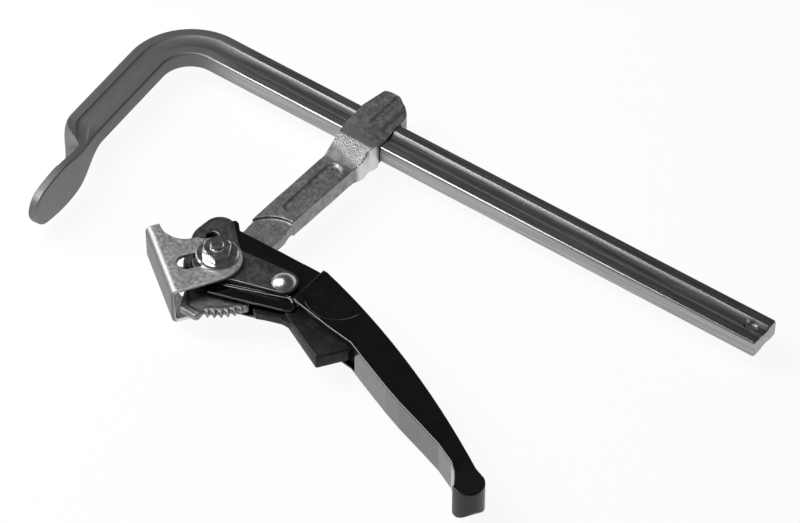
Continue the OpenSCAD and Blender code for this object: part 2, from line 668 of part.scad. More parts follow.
fixed_bar();
stop_pin();
sliding_arm();
pivot_bush();
thrust_washer_front();
thrust_washer_back();
pivot_bolt();
pivot_nut();
pivot_washer_front();
pivot_washer_back();
pressure_plate();
lever_handle();
cam_plate_front();
cam_plate_back();
cam_rivet();
pawl_bush();
pawl_washer_front();
pawl_washer_back();
pawl();
trigger();
trigger_pins();
cross_pin();
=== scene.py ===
# %% [markdown]
# # A quick release bar clamp
# The clamp is a grooved steel rail that bends down into a jaw with an oval pad, and an arm that slides
# along the rail. A lever on the arm presses a folded plate against the work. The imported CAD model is
# loaded first, as a frame that says where each part is, and better looking pieces are then built round
# it, in the same place.

# %% Load the frame
import json
import math

import bpy
from mathutils import Matrix, Vector


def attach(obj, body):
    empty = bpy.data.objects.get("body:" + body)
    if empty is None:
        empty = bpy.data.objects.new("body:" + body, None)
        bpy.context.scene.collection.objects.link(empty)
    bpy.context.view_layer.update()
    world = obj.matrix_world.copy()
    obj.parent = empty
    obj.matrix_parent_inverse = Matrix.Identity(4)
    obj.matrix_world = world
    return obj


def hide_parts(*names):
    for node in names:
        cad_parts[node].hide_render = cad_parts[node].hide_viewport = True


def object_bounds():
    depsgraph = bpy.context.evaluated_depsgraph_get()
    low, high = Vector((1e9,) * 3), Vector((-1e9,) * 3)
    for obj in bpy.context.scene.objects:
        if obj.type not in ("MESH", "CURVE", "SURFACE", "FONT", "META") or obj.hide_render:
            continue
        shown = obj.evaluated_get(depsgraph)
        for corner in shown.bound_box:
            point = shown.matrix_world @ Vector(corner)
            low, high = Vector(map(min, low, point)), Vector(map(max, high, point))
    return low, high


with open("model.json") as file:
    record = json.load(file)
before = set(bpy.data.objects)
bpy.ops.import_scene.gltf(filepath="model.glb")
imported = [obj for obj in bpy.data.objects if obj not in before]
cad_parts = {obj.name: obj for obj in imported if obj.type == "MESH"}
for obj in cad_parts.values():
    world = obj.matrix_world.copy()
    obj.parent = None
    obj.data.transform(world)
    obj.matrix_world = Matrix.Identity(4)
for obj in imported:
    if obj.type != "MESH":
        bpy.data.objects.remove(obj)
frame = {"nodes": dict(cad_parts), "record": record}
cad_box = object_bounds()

nodes = frame["nodes"]

# %% [markdown]
# ## Working in millimetres
# The clamp's sizes are easiest to read in millimetres, measured from the pivot bolt for all that turns on
# it. Blender works in metres, so a few small helpers turn one into the other and draw arcs. The clamp is
# nearly the same on both sides of its middle plane, so sections are drawn for one side and turned over.

# %% Helpers for sizes and arcs
MM = 0.001
PIVOT = (122.5, 9.0)
CENTRE = (0, 0)


def mix(a, b, share):
    return a + (b - a)*share


def ease(share):
    return share*share*(3 - 2*share)


def turned_by(radius, degrees):
    return (radius*math.cos(math.radians(degrees)), radius*math.sin(math.radians(degrees)))


def on_circle(centre, radius, degrees):
    x, y = turned_by(radius, degrees)
    return (centre[0] + x, centre[1] + y)


def arc(centre, radius, start, end, steps):
    return [on_circle(centre, radius, mix(start, end, i/steps)) for i in range(steps + 1)]


def disc(centre, radius, steps=72):
    return arc(centre, radius, 0, 360*(steps - 1)/steps, steps - 1)


def box_outline(x0, y0, x1, y1):
    return [(x0, y0), (x1, y0), (x1, y1), (x0, y1)]


def sided(points, side):
    return [(a, side*b) for a, b in points]


def from_pivot(x, y, z):
    return Vector(((PIVOT[0] + x)*MM, (PIVOT[1] + y)*MM, z*MM))


def in_row(x, y, z):
    return Vector((x*MM, y*MM, z*MM))


print("pivot at", PIVOT, "mm")

# %% [markdown]
# ## Slabs
# Sheet metal parts and most forgings start as a flat outline with a thickness. A filled circle with as
# many corners as the outline is added, its corners are moved out to the outline, and it is extruded. That
# is quick and keeps every outline in plain numbers. A cutting tool is a slab that reaches out past both
# faces of the piece.

# %% Draw an outline and extrude it
ANY_RADIUS = 0.01


def nothing_selected():
    bpy.ops.object.select_all(action="DESELECT")


def only(piece):
    nothing_selected()
    piece.select_set(True)
    bpy.context.view_layer.objects.active = piece


def slab(outline, low, high, place=from_pivot):
    nothing_selected()
    bpy.ops.mesh.primitive_circle_add(vertices=len(outline), radius=ANY_RADIUS, fill_type="NGON")
    piece = bpy.context.object
    for corner, (x, y) in zip(piece.data.vertices, outline):
        corner.co = place(x, y, low)
    up_by = place(0, 0, high) - place(0, 0, low)
    bpy.ops.object.mode_set(mode="EDIT")
    bpy.ops.mesh.select_all(action="SELECT")
    bpy.ops.mesh.extrude_region_move(TRANSFORM_OT_translate={"value": up_by})
    bpy.ops.mesh.select_all(action="SELECT")
    bpy.ops.mesh.normals_make_consistent(inside=False)
    bpy.ops.object.mode_set(mode="OBJECT")
    return piece


def one_side(outline, low, high, side, place=from_pivot):
    return slab(outline, *sorted((side*low, side*high)), place)


def both_sides(outline, low, high):
    return [one_side(outline, low, high, side) for side in (1, -1)]


def through(outline, reach=20, place=from_pivot):
    return slab(outline, -reach, reach, place)


print("slab() is ready")

# %% [markdown]
# ## Cutting, joining and rounding
# Holes and pockets are cut with the Boolean modifier. Forged and pressed parts have no sharp edge
# anywhere, so their slabs are joined, and a fine voxel remesh melts them into one skin that a Smooth
# modifier then rounds. Parts with crisp machined edges get a Bevel modifier instead.

# %% Modifier helpers
MACHINED_ANGLE = math.radians(25)


def applied(piece, kind, **settings):
    only(piece)
    step = piece.modifiers.new(kind.title(), kind)
    for key, value in settings.items():
        setattr(step, key, value)
    bpy.ops.object.modifier_apply(modifier=step.name)
    return piece


def combined(piece, tool, operation):
    applied(piece, "BOOLEAN", object=tool, operation=operation, solver="EXACT")
    bpy.data.objects.remove(tool)
    return piece


def cut(piece, *tools):
    for tool in tools:
        combined(piece, tool, "DIFFERENCE")
    return piece


def kept_inside(piece, tool):
    return combined(piece, tool, "INTERSECT")


def joined(pieces):
    nothing_selected()
    for piece in pieces:
        piece.select_set(True)
    bpy.context.view_layer.objects.active = pieces[0]
    bpy.ops.object.join()
    return pieces[0]


def named(piece, name):
    piece.name = name
    piece.data.name = name
    print(name, len(piece.data.polygons), "faces")
    return piece


def shaded(piece, degrees):
    only(piece)
    bpy.ops.object.shade_smooth_by_angle(angle=math.radians(degrees))


def melted(pieces, name, voxel, rounds):
    size = voxel*MM*1
    skin = applied(joined(pieces), "REMESH", mode="VOXEL", voxel_size=size)
    applied(skin, "SMOOTH", factor=0.5, iterations=rounds)
    bpy.ops.object.shade_smooth()
    return named(skin, name)


def rounded(piece, width, degrees=30):
    applied(piece, "BEVEL", width=width*MM, segments=4, limit_method="ANGLE",
        angle_limit=math.radians(degrees))
    bpy.ops.object.shade_smooth_by_angle(angle=MACHINED_ANGLE)
    return piece


print("modifier helpers are ready")

# %% [markdown]
# ## Turned parts
# Bolts, washers and rivets are made on a lathe, and Blender's spin operator is a lathe too: half of the
# section is drawn beside the axis and spun round it. The corners on the axis then lie on one another, and
# are merged.

# %% Spin a section round an axis
MERGE_WITHIN, DISSOLVE_BELOW = 0.000005, 0.000001


def lathed(section, centre=CENTRE, steps=72):
    nothing_selected()
    bpy.ops.mesh.primitive_circle_add(vertices=len(section), radius=ANY_RADIUS, fill_type="NOTHING")
    piece = bpy.context.object
    for corner, (radius, height) in zip(piece.data.vertices, section):
        corner.co = from_pivot(centre[0] + radius, centre[1], height)
    bpy.ops.object.mode_set(mode="EDIT")
    bpy.ops.mesh.select_all(action="SELECT")
    bpy.ops.mesh.spin(steps=steps, angle=2*math.pi, center=from_pivot(*centre, 0), axis=(0, 0, 1))
    bpy.ops.mesh.select_all(action="SELECT")
    bpy.ops.mesh.remove_doubles(threshold=MERGE_WITHIN)
    bpy.ops.mesh.dissolve_degenerate(threshold=DISSOLVE_BELOW)
    bpy.ops.mesh.select_all(action="SELECT")
    bpy.ops.mesh.normals_make_consistent(inside=False)
    bpy.ops.object.mode_set(mode="OBJECT")
    bpy.ops.object.shade_smooth_by_angle(angle=MACHINED_ANGLE)
    return piece


print("lathed() is ready")

# %% [markdown]
# ## Camera
# The photograph looks down on the clamp, which lies on its side, from the rail's free end and the lever's
# side, through a long lens. The camera stands where a fit of the rail's three long edges puts it.

# %% Place the camera
AZIMUTH, ELEVATION = math.radians(36.943), math.radians(45.759)
DISTANCE, AIM_RIGHT, AIM_UP = 2.27696, 0.112556, 0.005434
FOCAL_PIXELS, PICTURE_PIXELS, SENSOR = 3677, 800, 36
right = Vector((math.cos(AZIMUTH), math.sin(AZIMUTH), 0))
back = Vector((math.sin(AZIMUTH)*math.cos(ELEVATION), -math.cos(AZIMUTH)*math.cos(ELEVATION),
    math.sin(ELEVATION)))
up = back.cross(right)
aim = from_pivot(0, 0, 0) + right*AIM_RIGHT + up*AIM_UP
lens = bpy.data.cameras.new("long_lens")
lens.lens = FOCAL_PIXELS*SENSOR/PICTURE_PIXELS
lens.sensor_width = SENSOR
lens.clip_end = 20
camera = bpy.data.objects.new("long_lens", lens)
bpy.context.scene.collection.objects.link(camera)
turn = Matrix((right, up, back)).transposed().to_4x4()
camera.matrix_world = Matrix.Translation(aim + back*DISTANCE) @ turn
bpy.context.scene.camera = camera
print("camera at", [round(v, 3) for v in camera.matrix_world.translation])

# %% [markdown]
# ## The bar
# Rail, bend, jaw and pad are one piece of steel: a rolled bar with a shallow groove in both broad sides,
# bent hot, with its end forged flat into an oval pad. It could be extruded in parts, but then the forged
# neck would show seams. Here it is one grid: each row is a section of the bar, and the grid is rolled up
# into a tube.

# %% Sizes of the bar
RAIL_WIDE, RAIL_THICK, RAIL_END = 25.0, 12.5, 425.0
THROAT, BEND_INSIDE, LEAN, SETBACK = 151.0, 20.0, math.radians(6), 19.3
PAD_WIDE, PAD_THICK, PAD_LOW, PAD_CORNER, FLARE_TOP = 32.0, 6.2, 24.0, 1.2, 60.0
GROOVE_HALF, GROOVE_DEEP, CORNER, SCOOP = 5.5, 1.0, 1.7, 0.43
# Powers of the groove's section: a round one in the rail, and one with a flat floor in the jaw
ROUND_GROOVE, FLAT_GROOVE = 2, 5
GROOVE_MARKS = [-1.06, -1, -0.96, -0.9, -0.8, -0.65, -0.45, -0.2, 0, 0.2, 0.45, 0.65, 0.8, 0.9, 0.96, 1,
    1.06]
BEVEL_STEPS, CORNER_STEPS, BEND_STEPS, NECK_STEPS, PAD_STEPS, END_STEPS = 9, 7, 36, 90, 8, 18
BEND_TURN, LAST_TURN = 96, 87
# How much faster than the neck widens its front, its rear and its ridge reach the pad's level
FRONT_PACE, REAR_PACE, RIDGE_PACE, RIDGE_START = 1.3, 1.06, 2, 0.08
NECK_BEVEL, GROOVE_PACE, GROOVE_EDGE, RIDGE_EDGE = 0.45, 1.6, 0.5, 0.2
STOP_INSET, STOP_R = 11, 3.5
rail_y = THROAT + RAIL_WIDE/2
bend_mid = BEND_INSIDE + RAIL_WIDE/2
bend_y = rail_y - bend_mid
jaw_top = (bend_y - (bend_mid - SETBACK)*math.sin(LEAN))/math.cos(LEAN)
bend_x = (bend_mid - SETBACK)*math.cos(LEAN) - jaw_top*math.sin(LEAN)
print("bend centre", round(bend_x, 1), round(bend_y, 1))


# %% One section of the bar
def bar_section(rear, front, half, corner, groove, ridge, bevel):
    at, wide, deep, sharp = groove
    dip = [(at + wide*u, deep*max(0, 1 - abs(u)**sharp)) for u in GROOVE_MARKS]
    flat = 1 + min(1, max(0, bevel/corner - 1))
    turns = [math.radians(90*i/BEVEL_STEPS) for i in range(BEVEL_STEPS + 1)]
    slope = [(ridge - (ridge - rear)*math.cos(a)**flat, half - bevel + bevel*math.sin(a)**flat)
        for a in turns]
    return (sided(slope, -1) + [(x, d - half) for x, d in dip]
        + arc((front - corner, corner - half), corner, 270, 360, CORNER_STEPS)
        + arc((front - corner, half - corner), corner, 0, 90, CORNER_STEPS)
        + [(x, half - d) for x, d in reversed(dip)] + slope[::-1])


def rail_section(inset=0, sharp=ROUND_GROOVE):
    rear = inset - RAIL_WIDE/2
    groove = (0, GROOVE_HALF, GROOVE_DEEP, sharp)
    return bar_section(rear, -rear, RAIL_THICK/2 - inset, CORNER, groove, rear + CORNER, CORNER)


def on_jaw(x, y, z):
    return in_row(x*math.cos(LEAN) - y*math.sin(LEAN), x*math.sin(LEAN) + y*math.cos(LEAN), z)


def rail_row(x, inset=0):
    return [in_row(x, rail_y - a, b) for a, b in rail_section(inset)]


def bend_row(degrees, share):
    section = rail_section(0, mix(ROUND_GROOVE, FLAT_GROOVE, share))
    steer = [(turned_by(bend_mid - a, degrees), b) for a, b in section]
    return [in_row(bend_x + x, bend_y + y, b) for (x, y), b in steer]


def neck_row(share):
    front = mix(RAIL_WIDE/2 - SETBACK, 0, ease(min(1, share*FRONT_PACE)))
    rear = mix(-RAIL_WIDE/2 - SETBACK, -PAD_THICK, ease(min(1, share*REAR_PACE)))
    half = mix(RAIL_THICK, PAD_WIDE, ease(share))/2
    corner = mix(CORNER, PAD_CORNER, share)
    away = min(1, share/SCOOP)
    fade = 1 - away*away
    wide = mix(PAD_THICK/4, GROOVE_HALF, math.sqrt(fade))
    at = mix((rear + front)/2, front - corner - wide - GROOVE_EDGE, ease(away))
    groove = (at, wide, GROOVE_DEEP*min(1, GROOVE_PACE*fade), FLAT_GROOVE)
    ridge = mix(CORNER - RAIL_WIDE/2 - SETBACK, corner - PAD_THICK,
        ease(min(1, max(0, share - RIDGE_START)*RIDGE_PACE)))
    ridge = min(ridge, at - wide*GROOVE_MARKS[-1] - RIDGE_EDGE)
    bevel = corner + half*NECK_BEVEL*math.sin(math.pi*share)
    section = bar_section(rear, front, half, corner, groove, ridge, bevel)
    return [on_jaw(a, mix(FLARE_TOP, PAD_WIDE/4, share), b) for a, b in section]


def pad_row(y, half):
    corner = min(PAD_CORNER, half*0.6)
    no_groove = (-PAD_THICK/2, PAD_THICK/5, 0, FLAT_GROOVE)
    section = bar_section(-PAD_THICK, 0, half, corner, no_groove, corner - PAD_THICK, corner)
    return [on_jaw(a, y, b) for a, b in section]


end_r = PAD_WIDE*0.44
low_y = end_r - PAD_LOW
run = PAD_WIDE/4 - low_y
side_r = (run**2 + PAD_WIDE**2/4 - end_r**2)/(PAD_WIDE - 2*end_r)
pad_turn = math.degrees(math.asin(run/(side_r - end_r)))
# Distance from the rail's free end, and how far the section is drawn in there
end_rows = [(0, 1.5), (0.1, 1.0), (0.45, 0.45), (1.0, 0.12), (1.6, 0)]
bar_rows = [rail_row(RAIL_END - along, inset) for along, inset in end_rows] + [rail_row(bend_x)]
bar_rows += [bend_row(90 + BEND_TURN*i/BEND_STEPS, i/BEND_STEPS) for i in range(1, BEND_STEPS + 1)]
bar_rows += [neck_row(i/NECK_STEPS) for i in range(NECK_STEPS + 1)]
for i in range(1, PAD_STEPS + 1):
    x, y = turned_by(side_r, 90 - pad_turn*i/PAD_STEPS)
    bar_rows.append(pad_row(PAD_WIDE/4 - x, PAD_WIDE/2 - side_r + y))
for i in range(1, END_STEPS + 1):
    x, y = turned_by(end_r, 90 - mix(pad_turn, LAST_TURN, i/END_STEPS))
    bar_rows.append(pad_row(low_y - x, y))
print(len(bar_rows), "sections of", len(bar_rows[0]), "points")

# %% Roll the grid up into the bar
SEAM_WITHIN = 0.000002


def rolled(rows):
    nothing_selected()
    around = len(rows[0])
    bpy.ops.mesh.primitive_grid_add(x_subdivisions=around, y_subdivisions=len(rows) - 1, size=0.1)
    piece = bpy.context.object
    for i, row in enumerate(rows):
        for k in range(around + 1):
            piece.data.vertices[i*(around + 1) + k].co = row[k % around]
    bpy.ops.object.mode_set(mode="EDIT")
    bpy.ops.mesh.select_all(action="SELECT")
    bpy.ops.mesh.remove_doubles(threshold=SEAM_WITHIN)
    bpy.ops.mesh.select_all(action="DESELECT")
    bpy.ops.mesh.select_non_manifold()
    bpy.ops.mesh.edge_face_add()
    bpy.ops.mesh.select_all(action="SELECT")
    bpy.ops.mesh.normals_make_consistent(inside=False)
    bpy.ops.object.mode_set(mode="OBJECT")
    return piece


bar = rolled(bar_rows)
STOP = (RAIL_END - STOP_INSET - PIVOT[0], rail_y - PIVOT[1])
cut(bar, through(disc(STOP, STOP_R), 8))
countersink = [(0, 3.0), (STOP_R, 3.0), (4.65, 5.3), (5.6, 7.2), (0, 7.2)]
cut(bar, lathed(countersink, STOP))
named(bar, "grooved_bar")
shaded(bar, 28)
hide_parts("fixed_bar")
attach(bar, "rail")

# %% [markdown]
# ## The sliding arm
# The arm is a drop forging: a thick loop round the rail, a stem with a shallow pocket, and a thin tongue
# that ends in a row of ratchet teeth. Each region is a slab, the loop's taper is a second slab seen from
# the side that the first is kept inside, and the whole is melted together, which gives the soft edges
# that forging leaves.

# %% Sizes of the arm
LOOP_LONG, LOOP_THICK, LOOP_WALL, LOOP_FIT, WINDOW_FIT = 31.0, 20.0, 19, 0.3, 0.4
STEM_WIDE, STEM_THICK, STEM_LOW, TONGUE_HALF, TOOTH_HALF, WEB_HALF = 23.0, 12.4, 36.0, 4, 2.4, 1.6
TOOTH_R, TOOTH_DEEP, TOOTH_PITCH, FIRST_TOOTH, TEETH, BUSH_R = 39.0, 3.0, 6.4, -65, 6, 8.56
arm_rail = rail_y - PIVOT[1]
arm_top = arm_rail + RAIL_WIDE/2 + LOOP_FIT + LOOP_WALL
loop_x0, loop_x1 = -LOOP_LONG*0.42, LOOP_LONG*0.58
loop_low = arm_rail - RAIL_WIDE/2 - LOOP_FIT - LOOP_THICK*0.3
stem_x0, stem_x1 = -STEM_WIDE*0.28, STEM_WIDE*0.72


def across_arm(y, z, x):
    return from_pivot(x, y, z)


def along_arm(x, z, y):
    return from_pivot(x, y, z)


print("arm from", round(loop_low), "to", round(arm_top), "mm above the pivot")

# %% Loop and stem
loop_r = LOOP_LONG/6
far_end = arc((loop_x0 + 1.6*loop_r, arm_top - loop_r), loop_r, 175, 90, 10)
near_end = arc((loop_x1 - 3.1*loop_r, arm_top - 3.4*loop_r), 2.7*loop_r, 65, 0, 10)
loop_outline = ([(loop_x0 + LOOP_LONG*0.06, loop_low + loop_r), (loop_x0, arm_rail + RAIL_WIDE*0.4)]
    + far_end + [(LOOP_LONG*0.03, arm_top - loop_r*0.06)] + near_end
    + [(loop_x1 - loop_r*0.4, arm_rail + RAIL_WIDE*0.3), (loop_x1, arm_rail - RAIL_WIDE*0.3),
       (loop_x1, loop_low + loop_r*0.6), (loop_x1 - loop_r*0.3, loop_low - loop_r*0.6),
       (stem_x1 + STEM_WIDE*0.08, loop_low - LOOP_THICK*0.6), (stem_x1, loop_low - LOOP_THICK),
       (stem_x1 - STEM_WIDE*0.06, STEM_LOW + 15.3), (stem_x1, STEM_LOW + 10), (stem_x1, STEM_LOW),
       (stem_x0, STEM_LOW), (stem_x0 - STEM_WIDE*0.04, STEM_LOW + 10.2), (stem_x0, loop_low - LOOP_THICK)])
side_half = [(-48, STEM_THICK/2), (loop_low - LOOP_THICK, STEM_THICK/2), (loop_low, LOOP_THICK/2),
    (arm_top - 3, LOOP_THICK/2), (arm_top, LOOP_THICK*0.425)]
side_outline = side_half + sided(side_half, -1)[::-1]
window = box_outline(-60, arm_rail - RAIL_WIDE/2 - WINDOW_FIT, 60, arm_rail + RAIL_WIDE/2 + WINDOW_FIT)
# Seen along the arm: the near end's slope, and the two ridges stepped across the top of the loop
slope_in, slope_out = loop_x1 - 13, loop_x1 + 1
end_slope = [(slope_in, 10), (slope_out, 7.2), (slope_out, 20), (slope_in, 20)]
ridges = [(-0.5, 20), (-0.5, 10.2), (1.3, 9.1), (9.5, 8.9), (10.8, 7.4), (30, 6.8), (30, 20)]
arm = through(loop_outline, LOOP_THICK/2)
kept_inside(arm, through(side_outline, 40, across_arm))
cut(arm, through(window, RAIL_THICK/2 + WINDOW_FIT))
for side in (-1, 1):
    cut(arm, slab(sided(end_slope, side), arm_rail - 14, arm_rail + 31, along_arm))
    cut(arm, slab(sided(ridges, side), arm_rail - 1, arm_rail + 40, along_arm))
print("loop and stem:", len(arm.data.polygons), "faces")

# %% Pocket, dimple and shoulder
STEM_DIMPLE, BOWL_R, BOWL_LEVEL = (5.3, 110.6), 5, 9.6
POCKET_FLOOR, POCKET_LONG = 4.9, 51
SHOULDER, SHOULDER_R = (13.8, STEM_LOW - 3), 23
low_at = (mix(stem_x0, stem_x1, 0.52), STEM_LOW + 30.6)
low_r, high_r = STEM_WIDE*0.2, STEM_WIDE*0.27
high_at = (low_at[0] + 1.15, low_at[1] + POCKET_LONG - low_r - high_r)
pocket = arc(low_at, low_r, 180, 360, 12) + arc(high_at, high_r, 0, 180, 14)
bowl_half = [(0, BOWL_R)] + arc(CENTRE, BOWL_R, 80, 10, 7) + [(0, 0.5)]
bowl = [(a, BOWL_LEVEL - b) for a, b in bowl_half]
for side in (-1, 1):
    cut(arm, one_side(pocket, POCKET_FLOOR, 7.5, side))
    cut(arm, lathed(sided(bowl, side), STEM_DIMPLE, 32))
    cut(arm, one_side(disc(SHOULDER, SHOULDER_R), TONGUE_HALF, 12, side),
        one_side(box_outline(-34, -40, 46, SHOULDER[1]), TONGUE_HALF, 12, side))
cut(arm, through(disc(CENTRE, BUSH_R), 12))
print("pocket and shoulder cut:", len(arm.data.polygons), "faces")


# %% Toothed sector
def tooth_outline():
    root_r = TOOTH_R - TOOTH_DEEP
    rim_end = turned_by(TOOTH_R*0.93, -24)
    points = [(-BUSH_R - 6, 0), (BUSH_R, BUSH_R), (TOOTH_R*0.72, -TOOTH_R*0.3)]
    points += arc(rim_end, TOOTH_R*0.07, 120, -70, 8)
    for i in range(TEETH - 1, -1, -1):
        angle = FIRST_TOOTH + i*TOOTH_PITCH
        for radius, share in ((root_r, 1), (TOOTH_R, 0.72), (TOOTH_R, 0.5), (root_r, 0.12)):
            points.append(turned_by(radius, angle + TOOTH_PITCH*share))
    last = turned_by(root_r, FIRST_TOOTH)
    return points + [last, (last[0] + 0.6, -38.5), (last[0] - 0.9, -40.56), (2.34, -40.56), (-5.4, -25.7)]


rim_in = TOOTH_R - TOOTH_DEEP*1.9
web = [(-BUSH_R, -BUSH_R*1.1), (BUSH_R*1.3, -BUSH_R*0.6), turned_by(rim_in*0.9, -26)]
web += arc(CENTRE, rim_in, -30, -62, 12)
web += [(turned_by(rim_in, -62)[0]*0.95, -35.8), (5.34, -36.1), (-3, -25.7)]
sector = through(tooth_outline(), TOOTH_HALF)
for side in (1, -1):
    cut(sector, one_side(web, WEB_HALF, 5, side))
tongue = through(box_outline(stem_x0, 0, stem_x1, STEM_LOW + 1), TONGUE_HALF)
boss = through(disc(CENTRE, BUSH_R + 6), TONGUE_HALF)
for piece in (sector, tongue, boss):
    cut(piece, through(disc(CENTRE, BUSH_R), 12))
arm = melted([arm, sector, tongue, boss], "forged_arm", 0.5, 5)
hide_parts("sliding_arm")
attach(arm, "arm")

# %% [markdown]
# ## The pressure plate
# A sheet of zinc plated steel is folded twice into a channel. Its outer face presses on the work, and its
# two cheeks have a long slot each, so that the plate can slide and swing on the pivot bolt. The channel
# is drawn as seen along the fold, with round corners, and its cheeks are kept inside their side outline.

# %% Fold the plate
FACE_OUT, SHEET, PLATE_HALF, LONG, SHORT, FOLD = 36.2, 2.8, 14.0, 37.2, 22.1, 4.4
NOSE, NOSE_X, SLOT_R, SLOT_RUN = 18.0, 3, 6.12, 19.7
FILLET_AT, FILLET_R = (9.85, -35.5), 16.9
PLATE_TURN = math.radians(235)


def on_plate(x, y, z):
    return from_pivot(x*math.cos(PLATE_TURN) - y*math.sin(PLATE_TURN),
        x*math.sin(PLATE_TURN) + y*math.cos(PLATE_TURN), z)


def along_fold(x, z, y):
    return on_plate(x, y, z)


fold_x, fold_z, inner_fold = FACE_OUT - FOLD, PLATE_HALF - FOLD, FOLD - SHEET
outer = arc((fold_x, -fold_z), FOLD, 270, 360, 8) + arc((fold_x, fold_z), FOLD, 0, 90, 8)
inner = arc((fold_x, fold_z), inner_fold, 90, 0, 4) + arc((fold_x, -fold_z), inner_fold, 360, 270, 4)
channel = ([(-20, -PLATE_HALF)] + outer + [(-20, PLATE_HALF), (-20, PLATE_HALF - SHEET)] + inner
    + [(-20, SHEET - PLATE_HALF)])
past_face = FACE_OUT + 1
cheek_shapes = [disc((NOSE_X, SHORT - NOSE*1.1), NOSE),
    [(NOSE_X, -15.3), (past_face, -LONG - 1), (past_face, SHORT), (NOSE_X, 20.3)],
    box_outline(FILLET_AT[0], -LONG, past_face, 0)]
plate_cuts = [disc(FILLET_AT, FILLET_R), box_outline(-30, -40, FILLET_AT[0], -20.3),
    box_outline(8.8, -40, 26.7, FILLET_AT[1]),
    arc(CENTRE, SLOT_R, 90, 270, 20) + arc((SLOT_RUN, 0), SLOT_R, -90, 90, 20)]
plates = []
for shape in cheek_shapes:
    folded = slab(channel, -LONG, SHORT, along_fold)
    kept_inside(folded, through(shape, place=on_plate))
    plates.append(cut(folded, *[through(outline, place=on_plate) for outline in plate_cuts]))
plate = melted(plates, "folded_plate", 0.4, 3)
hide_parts("pressure_plate")
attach(plate, "plate")

# %% [markdown]
# ## The lever
# The lever is pressed from sheet and painted gloss black. Two narrow cheeks straddle the arm at the head,
# and step out steeply to a wide channel that fills the hand, with a shallow round dimple in both sides
# behind the step. The grip is a slab with a round tip, hollowed by a second outline, and the head's
# cheeks are thinner slabs.

# %% Sizes of the lever
HEAD, GRIP_HALF, WALL, REACH, DROP, DEPTH, TIP_R = 30.5, 12.0, 2.0, 242.0, 82.0, 24.0, 10.0
RIVET = (45.0, 8.8)
CHEEK_IN, CHEEK_OUT, CAM_OUT = 5.27, 7.77, 10.77
FLARE_X, STEP_X, STEP_LONG = 54.6, 57.6, 1.8
TIP_TURN, TIP_TOP, TIP_LOW = math.radians(-32.6), 2.0, 9.1
TOP_STEPS = 15
# Depth of the grip along its length, as shares of its full depth
DEPTH_SHARES = [(0.915, 0.86), (0.9, 0.73), (0.882, 0.64), (0.85, 0.57), (0.77, 0.63), (0.67, 0.78),
    (0.56, 0.93), (0.48, 0.985), (0.4, 1), (0.33, 0.995), (0.265, 0.97), (0.17, 1.14), (0, 1.31)]
grip_x0 = 62.1
grip_run = REACH - grip_x0
web_from = grip_x0 + grip_run*0.285
GRIP_DIMPLE, DIMPLE_R, DIMPLE_DEEP = (grip_x0*1.27, HEAD*0.655), HEAD*0.705, 1.4
dimple_floor = GRIP_HALF - DIMPLE_DEEP


def grip_top(share):
    return (grip_x0 + grip_run*share, HEAD - DROP*(0.6*share + 0.4*share*share))


tip = (REACH - TIP_R, grip_top(1)[1] - TIP_R*0.35)


def grip_outline(inset):
    tops = [grip_top(0.93*i/TOP_STEPS) for i in range(TOP_STEPS + 1)]
    lower = [(grip_top(a)[0], grip_top(a)[1] - DEPTH*b + inset*1.12) for a, b in DEPTH_SHARES]
    return ([(FLARE_X, HEAD*1.01)] + tops + arc(tip, TIP_R - inset, 58, -130, 16) + lower
        + [(FLARE_X, HEAD*0.085)])


def flared(narrow, wide):
    half = [(-60, narrow), (STEP_X, narrow), (STEP_X + STEP_LONG, wide), (REACH + 20, wide)]
    return through(sided(half, -1) + half[::-1], REACH, along_arm)


def dimple_wall(side):
    edge = [(0, -DROP), (0, HEAD - WALL)]
    edge += [(x, y - WALL) for x, y in map(grip_top, [i/12 for i in range(7)])]
    edge.append((grip_top(0.5)[0], -DROP))
    wall = one_side(disc(GRIP_DIMPLE, DIMPLE_R + WALL, 96), GRIP_HALF - WALL - DIMPLE_DEEP,
        dimple_floor, side)
    return kept_inside(wall, through(edge, 30))


def along_tip(a, z, across):
    x = a*math.cos(TIP_TURN) - across*math.sin(TIP_TURN)
    return from_pivot(x, a*math.sin(TIP_TURN) + across*math.cos(TIP_TURN), z)


print("grip from", grip_x0, "to", REACH, "mm")

# %% Press the grip
tip_end = tip[0]*math.cos(TIP_TURN) + tip[1]*math.sin(TIP_TURN) + TIP_R
tip_view = ([(-REACH, -GRIP_HALF)]
    + arc((tip_end - TIP_LOW, TIP_LOW - GRIP_HALF), TIP_LOW, 270, 360, 16)
    + arc((tip_end - TIP_TOP, GRIP_HALF - TIP_TOP), TIP_TOP, 0, 90, 8) + [(-REACH, GRIP_HALF)])
grip = rounded(through(grip_outline(0), GRIP_HALF), 1.6, 50)
kept_inside(grip, flared(CHEEK_OUT, GRIP_HALF + 0.5))
kept_inside(grip, through(tip_view, REACH, along_tip))
hollow = through(grip_outline(WALL))
cut(hollow, through(box_outline(FLARE_X - 1, -DROP, web_from, DROP), 30))
rim = [grip_top(0.9*i/TOP_STEPS) for i in range(TOP_STEPS + 1)]
mouth = [(x, y - DEPTH/3) for x, y in rim] + [(x, y + 2) for x, y in reversed(rim)]
behind_web = box_outline(FLARE_X - 1, -DROP, web_from + 0.01, DROP)
for tool in (hollow, through(mouth), through(behind_web)):
    cut(grip, kept_inside(tool, flared(CHEEK_IN, GRIP_HALF - WALL)))
